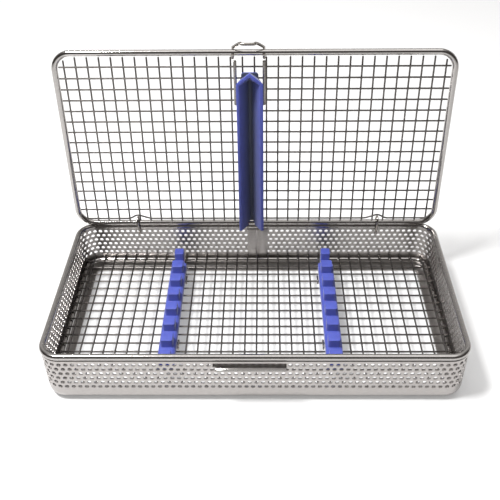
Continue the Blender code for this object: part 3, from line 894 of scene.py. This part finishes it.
def wire_panel(name, deep_half, first_across, along_x, inset, middle, tents=()):
    """Straight wires in two layers round the middle, cut to the rounded outline."""
    pattern = straight_rod("pattern", Vector((0, 0, 0)), 2 * STUB, WIRE, sides=WIRE_SIDES)
    outline = (LONG - inset, deep_half - inset, CORNER - inset)
    wires = []
    for row in range(ROWS_OF_WIRE):
        y = deep_half - first_across - row * STEP
        half = run_of(abs(y) + WIRE / 2, outline[1], outline[0], outline[2])
        if row == 0 and tents:
            points = [Vector((-half, y, -SINK))]
            for left_foot, top, right_foot in tents:
                points += [Vector((left_foot, y, -SINK)), Vector((top, y - TENT_RISE, -SINK)),
                           Vector((right_foot, y, -SINK))]
            points.append(Vector((half, y, -SINK)))
            wires.append(bent_wire("tented", points, WIRE, bend=TENT_BEND, resolution=2))
            continue
        piece = drawn_out(pattern, half)
        piece.location = (0, y, -SINK)
        wires.append(piece)
    for column in range(-COLUMNS_EACH_SIDE, COLUMNS_EACH_SIDE + 1):
        x = along_x + column * STEP
        piece = drawn_out(pattern, run_of(abs(x) + WIRE / 2, *outline))
        piece.rotation_euler = (0, 0, math.pi / 2)
        piece.location = (x, 0, SINK)
        wires.append(piece)
    bpy.data.objects.remove(pattern)
    rest_hands()
    for piece in wires:
        piece.select_set(True)
    bpy.context.view_layer.objects.active = wires[0]
    bpy.ops.object.transform_apply(location=True, rotation=True, scale=True)
    bpy.ops.object.join()
    panel = bpy.context.object
    panel.name = name
    panel.location = middle
    dress(panel, drawn)
    return settle(panel)


print("wire", round(WIRE / MM, 2), "step", round(STEP / MM, 1))

# %% Floor and lid wires
CLIP_LEFT_X = -67.2 * MM
CLIP_RIGHT_X = 69.0 * MM
TENT_RISE = 2.5 * MM
TENT_SHORT = 4.2 * MM
TENT_LONG = 7.3 * MM
tents = ((CLIP_LEFT_X - TENT_SHORT, CLIP_LEFT_X, CLIP_LEFT_X + TENT_LONG),
         (CLIP_RIGHT_X - TENT_LONG, CLIP_RIGHT_X, CLIP_RIGHT_X + TENT_SHORT))
floor_net = wire_panel("floor_mesh_wires", DEEP, first_across=5.7 * MM, along_x=0.75 * MM,
                       inset=FLOOR_NET_INSET, middle=(0, TRAY_Y, FLOOR_NET_Z))
hand_over(floor_net, "floor_mesh", "tray")
lid_net = wire_panel("lid_mesh_wires", LID_DEEP / 2, first_across=3.5 * MM, along_x=0.1 * MM,
                     inset=LID_NET_INSET, middle=(0, -LID_DEEP / 2, -LID_NET_DROP), tents=tents)
hang(lid_net, lid_place)
settle(lid_net)
hand_over(lid_net, "lid_mesh", "lid")

# %% [markdown]
# ## The silicone racks
#
# Each rack is one moulded strip: a base, a row of square teeth with rounded corners, and a
# narrow tongue at its rear end.  A box is cut across at every slot, its top is drawn in to the
# teeth's width, and the fields between the slots are extruded up to make the teeth.

# %% Racks
SHOULDER_Z = 12.2 * MM
RACK_SLOT_Z = 13.2 * MM
TOOTH_WIDE = 6.2 * MM
RACK_SLOT_LONG = 5.4 * MM
RACK_SLOT_STEP = 11.35 * MM
RACK_SLOTS = 7
TONGUE_WIDE = 5.2 * MM
TONGUE_LONG = 7.3 * MM
TOOTH_ROUND = 0.9 * MM
TOP_ROUND = 0.35 * MM
RACK_SOFT = 0.18 * MM
TONGUE_LIFT = 0.1 * MM


def block(name, low, high):
    """A box between two corners, with its mesh in place."""
    rest_hands()
    bpy.ops.mesh.primitive_cube_add(size=1, location=(low + high) / 2)
    piece = bpy.context.object
    piece.name = name
    bpy.ops.transform.resize(value=high - low)
    bpy.ops.object.transform_apply(location=True, rotation=True, scale=True)
    return piece


def cut_across(axis, place):
    """In edit mode, cut all of the piece across one axis."""
    where, normal = Vector((0, 0, 0)), Vector((0, 0, 0))
    where[axis] = place
    normal[axis] = 1
    bpy.ops.mesh.select_all(action="SELECT")
    bpy.ops.mesh.bisect(plane_co=where, plane_no=normal)


def round_tooth_edges(piece, floor_z, top_z):
    """Round the teeth's upright edges, then the rim of their tops."""
    pick(piece, lambda co: co.z > floor_z - TINY, "EDGE", along=2)
    bpy.ops.mesh.bevel(offset=TOOTH_ROUND, segments=4, affect="EDGES")
    pick(piece, lambda co: co.z > top_z - TINY, "FACE")
    bpy.ops.mesh.region_to_loop()
    bpy.ops.mesh.bevel(offset=TOP_ROUND, segments=3, affect="EDGES")


print("slots in a rack", RACK_SLOTS)


# %% Both racks
def rack(name, node):
    """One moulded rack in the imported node's place."""
    low, high = (Vector(corner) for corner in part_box(node))
    centre = (low.x + high.x) / 2
    middle_y = (low.y + high.y) / 2
    shoulder_y = high.y - TONGUE_LONG
    piece = block(name, low, Vector((high.x, shoulder_y, SHOULDER_Z)))
    bpy.ops.object.mode_set(mode="EDIT")
    slots = [middle_y + (number - (RACK_SLOTS - 1) / 2) * RACK_SLOT_STEP
             for number in range(RACK_SLOTS)]
    for slot in slots:
        for edge_y in (slot - RACK_SLOT_LONG / 2, slot + RACK_SLOT_LONG / 2):
            if edge_y < shoulder_y:
                cut_across(1, edge_y)
    pick(piece, lambda co: co.z > SHOULDER_Z - TINY, "FACE")
    extrude((0, 0, RACK_SLOT_Z - SHOULDER_Z))
    bpy.ops.transform.resize(value=(TOOTH_WIDE / (high.x - low.x), 1, 1),
                             center_override=(centre, middle_y, RACK_SLOT_Z))
    pick(piece, lambda co: co.z > RACK_SLOT_Z - TINY
         and min(abs(co.y - slot) for slot in slots) > RACK_SLOT_LONG / 2, "FACE")
    extrude((0, 0, high.z - RACK_SLOT_Z))
    round_tooth_edges(piece, RACK_SLOT_Z, high.z)
    bpy.ops.object.mode_set(mode="OBJECT")
    knob_y = slots[-1] + RACK_SLOT_LONG / 2
    narrow = TONGUE_WIDE / 2
    lift = Vector((0, 0, TONGUE_LIFT))
    tongue = block("tongue", Vector((centre - narrow, shoulder_y - TONGUE_LONG / 2, low.z)) + lift,
                   Vector((centre + narrow, high.y, RACK_SLOT_Z)) - lift)
    bpy.ops.object.mode_set(mode="EDIT")
    cut_across(1, knob_y)
    pick(tongue, lambda co: co.z > RACK_SLOT_Z - 2 * TONGUE_LIFT and co.y > knob_y, "FACE")
    extrude((0, 0, high.z - RACK_SLOT_Z + TONGUE_LIFT / 2))
    round_tooth_edges(tongue, RACK_SLOT_Z - TONGUE_LIFT, high.z - TONGUE_LIFT / 2)
    bpy.ops.object.mode_set(mode="OBJECT")
    join_or_cut(piece, tongue, "UNION")
    soften(piece, RACK_SOFT)
    dress(piece, silicone)
    return settle(piece)


for side in ("left", "right"):
    hand_over(rack("rack_" + side + "_moulded", "rack_" + side), "rack_" + side, "tray")

# %% [markdown]
# ## Staples at the racks' feet
#
# Small wire staples hold the racks to the floor mesh.  Each is one wire with two bends.

# %% Staples
STAPLE_WIRE = 1.0 * MM
STAPLE_BEND = 0.5 * MM


def staple(name, node):
    """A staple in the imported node's place."""
    low, high = (Vector(corner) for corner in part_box(node))
    x = (low.x + high.x) / 2
    near, far = low.y + STAPLE_WIRE / 2, high.y - STAPLE_WIRE / 2
    top = high.z - STAPLE_WIRE / 2
    points = [Vector((x, near, low.z)), Vector((x, near, top)), Vector((x, far, top)),
              Vector((x, far, low.z))]
    piece = bent_wire(name, points, STAPLE_WIRE, bend=STAPLE_BEND)
    dress(piece, spring)
    return settle(piece)


for side in ("left", "right"):
    for end in ("front", "rear"):
        node = "rack_staple_" + side + "_" + end
        hand_over(staple(node + "_wire", node), node, "tray")

# %% [markdown]
# ## Hinge clips
#
# Each clip is a bent wire: it goes up outside the rim, arches over the lid's rear rod and comes
# down inside the rim, against the wall.  The bends follow the two rods with the same gap.

# %% Hinge clips
CLIP_WIRE = 1.4 * MM
CLIP_RING = ROD / 2 + GAP + CLIP_WIRE / 2
CLIP_RISE = 0.9 * MM
CLIP_OUTER_DROP = 2.0 * MM
CLIP_INNER_DROP = 4.7 * MM
WALL_INNER_REACH = 0.3 * MM
ARCH_STEPS = 18
INNER_TURNS = (204, 212, 221, 230)


def ring_point(x, centre_y, centre_z, radius, turn):
    """Point of a ring that stands across the tray, counted from its rear side upwards."""
    return Vector((x, centre_y + radius * math.cos(turn), centre_z + radius * math.sin(turn)))


def hinge_clip(name, x):
    """A bent wire round the rim and over the lid's rear rod."""
    rear = TRAY_Y + DEEP
    points = [Vector((x, rear + CLIP_RING, RIM_Z - CLIP_OUTER_DROP))]
    points += [ring_point(x, rear, RIM_Z, CLIP_RING, HINGE_TILT * share) for share in (0, 0.5, 1)]
    for step in range(1, ARCH_STEPS + 1):
        turn = HINGE_TILT + math.pi * step / ARCH_STEPS
        lift = CLIP_RISE * math.sin(math.pi * step / ARCH_STEPS)
        points.append(ring_point(x, HINGE.y, HINGE.z + lift, CLIP_RING, turn))
    for degrees in INNER_TURNS:
        points.append(ring_point(x, rear, RIM_Z, CLIP_RING, math.radians(degrees)))
    tail_y = rear - WALL_INNER_REACH - GAP - CLIP_WIRE / 2
    points.append(Vector((x, tail_y, RIM_Z - CLIP_INNER_DROP)))
    piece = bent_wire(name, points, CLIP_WIRE)
    dress(piece, spring)
    return settle(piece, angle=50)


hand_over(hinge_clip("hinge_clip_left_wire", CLIP_LEFT_X), "hinge_clip_left", "tray")
hand_over(hinge_clip("hinge_clip_right_wire", CLIP_RIGHT_X), "hinge_clip_right", "tray")

# %% [markdown]
# ## The hold-down bar
#
# A silicone trough with a deep valley.  Its outline is drawn as a plane with a bow at the free
# end and extruded towards the brim while it widens.  The brim is inset and pushed back in to make
# the valley.  The hinge end is cut off at a slant, arched out, and a foot plate joins the bow.

# %% The trough
BAR_X = -2.3 * MM
BAR_SEAT = 1.86 * MM
BAR_TALL = 8.0 * MM
BAR_THICK = 1.6 * MM
BAR_BASE = 4.5 * MM
BAR_BRIM = 6.85 * MM
BAR_SHOULDER = 87.5 * MM
BAR_TIP = 93.2 * MM
BAR_BASE_TIP = 90.8 * MM
BAR_BASE_START = 1.6 * MM
BAR_BRIM_START = 0.4 * MM
BAR_SPARE = 4.0 * MM
VALLEY_HALF = 0.7 * MM
VALLEY_TIP = 87.6 * MM
brim_z = -BAR_SEAT - BAR_TALL
valley_z = -BAR_SEAT - BAR_THICK
mouth_half = BAR_BRIM - BAR_THICK


def is_bow(co):
    """On the ridge line of the bow, past the shoulder."""
    return abs(co.x - BAR_X) < TINY and co.y < TINY - BAR_SHOULDER


rest_hands()
bar_middle = Vector((BAR_X, (BAR_SPARE - BAR_SHOULDER) / 2, -BAR_SEAT))
bpy.ops.mesh.primitive_plane_add(size=2, location=bar_middle)
bar = bpy.context.object
bar.name = "hold_down_bar_moulded"
bpy.ops.transform.resize(value=(BAR_BASE, (BAR_SPARE + BAR_SHOULDER) / 2, 1))
bpy.ops.object.transform_apply(location=True, rotation=True, scale=True)
bpy.ops.object.mode_set(mode="EDIT")
pick(bar, lambda co: co.y < TINY - BAR_SHOULDER, "EDGE")
bpy.ops.mesh.subdivide(number_cuts=1)
pick(bar, is_bow)
move((0, BAR_SHOULDER - BAR_BASE_TIP, 0))
bpy.ops.mesh.select_mode(type="FACE")
bpy.ops.mesh.select_all(action="SELECT")
extrude((0, 0, -BAR_TALL))
bpy.ops.transform.resize(value=(BAR_BRIM / BAR_BASE, 1, 1), center_override=(BAR_X, 0, brim_z))
pick(bar, lambda co: is_bow(co) and co.z < brim_z + TINY)
move((0, BAR_BASE_TIP - BAR_TIP, 0))
pick(bar, lambda co: co.z < brim_z + TINY, "FACE")
bpy.ops.mesh.inset(thickness=BAR_THICK)
extrude((0, 0, BAR_TALL - BAR_THICK))
bpy.ops.transform.resize(value=(VALLEY_HALF / mouth_half, 1, 1),
                         center_override=(BAR_X, 0, valley_z))
pick(bar, lambda co: is_bow(co) and abs(co.z - valley_z) < TINY)
shape = bmesh.from_edit_mesh(bar.data)
tip_now = min(vert.co.y for vert in shape.verts if vert.select)
move((0, -VALLEY_TIP - tip_now, 0))
slant = Vector((0, BAR_TALL, BAR_BASE_START - BAR_BRIM_START)).normalized()
bpy.ops.mesh.select_all(action="SELECT")
bpy.ops.mesh.bisect(plane_co=(0, -BAR_BASE_START, -BAR_SEAT), plane_no=slant, use_fill=True,
                    clear_outer=True)
bpy.ops.mesh.select_all(action="SELECT")
bpy.ops.mesh.normals_make_consistent(inside=False)
bpy.ops.object.mode_set(mode="OBJECT")
print("trough faces", len(bar.data.polygons))

# %% Arch and foot plate of the bar
BAR_SOFT = 0.35 * MM
BAR_ARCH = 3.3 * MM
BAR_ARCH_TALL = 3.2 * MM
BAR_ARCH_SIDES = 64
BAR_FOOT_HALF = 4.4 * MM
BAR_FOOT_START = 79.4 * MM
BAR_FOOT_END = 90.9 * MM
BAR_FOOT_ROUND = 1.4 * MM
BAR_FOOT_SOFT = 0.25 * MM

soften(bar, BAR_SOFT, segments=3)
rest_hands()
bpy.ops.mesh.primitive_cylinder_add(
    vertices=BAR_ARCH_SIDES, radius=BAR_ARCH, depth=BAR_ARCH_TALL,
    location=(BAR_X, -BAR_BRIM_START, -BAR_SEAT - BAR_ARCH_TALL / 2 + GAP))
join_or_cut(bar, bpy.context.object, "DIFFERENCE")
foot_low = Vector((BAR_X - BAR_FOOT_HALF, -BAR_FOOT_END, valley_z + TINY))
foot_high = Vector((BAR_X + BAR_FOOT_HALF, -BAR_FOOT_START, -BAR_SEAT - TINY))
foot = block("bar_foot", foot_low, foot_high)
bpy.ops.object.mode_set(mode="EDIT")
pick(foot, lambda co: True, "EDGE", along=2)
bpy.ops.mesh.bevel(offset=BAR_FOOT_ROUND, segments=6, affect="EDGES")
bpy.ops.object.mode_set(mode="OBJECT")
soften(foot, BAR_FOOT_SOFT)
join_or_cut(bar, foot, "UNION")
print("bar faces", len(bar.data.polygons))

# %% Shade the valley and hand the bar over
PAST_FLOOR = 1.05
dress(bar, silicone)
# Painted shade: each corner's valley value grows from 0 at the brim to 1 at the valley floor,
# inside the trough only.
shade = bar.data.attributes.new("valley", "FLOAT", "POINT")
for vert in bar.data.vertices:
    inside = abs(vert.co.x - BAR_X) < mouth_half - TINY and -vert.co.y < BAR_TIP - BAR_THICK
    sunk = (vert.co.z - brim_z) / (BAR_TALL - BAR_THICK)
    shade.data[vert.index].value = min(1, max(0, sunk)) if inside and sunk < PAST_FLOOR else 0
hang(bar, lid_place)
settle(bar)
hand_over(bar, "hold_down_bar", "lid")

# %% [markdown]
# ## The latch
#
# The latch is one springy wire.  Its two legs are welded along the lid beside the bar, and its
# loop is bent round the lid's front rod, runs up and closes with a flat top.

# %% Latch
LATCH_WIRE = 1.5 * MM
LATCH_RING = ROD / 2 + GAP + LATCH_WIRE / 2
LATCH_SIDES = ((-10.7 * MM, -6.2 * MM), (4.9 * MM, 0.5 * MM))
LATCH_WRAP = math.radians(230)
LATCH_STRAIGHT = 6.0 * MM
LATCH_KNEE = 8.4 * MM
LATCH_KNEE_IN = 0.6 * MM
LATCH_REACH = 9.45 * MM
LATCH_TIP_IN = 1.55 * MM
WRAP_STEPS = 24
LEG_LEFT_X = -9.65 * MM
LEG_RIGHT_X = 4.95 * MM
LEG_START = 73.4 * MM
LEG_END = 97.3 * MM

loop_points = []
for side_x, tip_x in LATCH_SIDES:
    half = []
    for step in range(WRAP_STEPS + 1):
        turn = math.pi / 2 + LATCH_WRAP * (1 - step / WRAP_STEPS)
        half.append(Vector((side_x, -LATCH_RING * math.sin(turn), -LATCH_RING * math.cos(turn))))
    knee_x = side_x + (tip_x - side_x) * LATCH_STRAIGHT / LATCH_KNEE
    half.append(Vector((knee_x, -LATCH_RING, -LATCH_STRAIGHT)))
    half.append(Vector((tip_x, -LATCH_RING + LATCH_KNEE_IN, -LATCH_KNEE)))
    half.append(Vector((tip_x, -LATCH_RING + LATCH_TIP_IN, -LATCH_REACH)))
    loop_points += half if not loop_points else half[::-1]
loop = bent_wire("latch_loop_wire", eased(loop_points), LATCH_WIRE)
dress(loop, spring)
hang(loop, latch_place)
settle(loop, angle=60)
hand_over(loop, "latch_loop", "latch")
for side, leg_x in (("left", LEG_LEFT_X), ("right", LEG_RIGHT_X)):
    leg = straight_rod("latch_leg_" + side + "_wire",
                       Vector((leg_x, -(LEG_START + LEG_END) / 2, -LATCH_RING)),
                       LEG_END - LEG_START, LATCH_WIRE, across=False)
    dress(leg, spring)
    hang(leg, lid_place)
    settle(leg)
    hand_over(leg, "latch_leg_" + side, "lid")

# %% [markdown]
# ## Keeper lip and seam strip
#
# The lip is a bright rod under the latch slot, with rounded ends.  The seam strip is a plain plate
# over the joint of the sheet, with a groove along the joint line.

# %% Keeper lip and seam strip
low, high = (Vector(corner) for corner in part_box("keeper_lip"))
lip = straight_rod("keeper_lip_rod", (low + high) / 2, high.x - low.x, high.z - low.z)
dress(lip, polished)
settle(lip)
hand_over(lip, "keeper_lip", "tray")

GROOVE_X = 0.3 * MM
GROOVE_HALF = 0.35 * MM
GROOVE_DEEP = 0.45 * MM
STRIP_SOFT = 0.08 * MM
low, high = (Vector(corner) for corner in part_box("seam_strip"))
strip = block("seam_strip_plate", low, high)
bpy.ops.object.mode_set(mode="EDIT")
cut_across(0, GROOVE_X - GROOVE_HALF)
cut_across(0, GROOVE_X + GROOVE_HALF)
pick(strip, lambda co: abs(co.x - GROOVE_X) < GROOVE_HALF and co.y < low.y + TINY, "FACE")
extrude((0, GROOVE_DEEP, 0))
bpy.ops.object.mode_set(mode="OBJECT")
soften(strip, STRIP_SOFT)
dress(strip, brushed)
settle(strip)
hand_over(strip, "seam_strip", "tray")
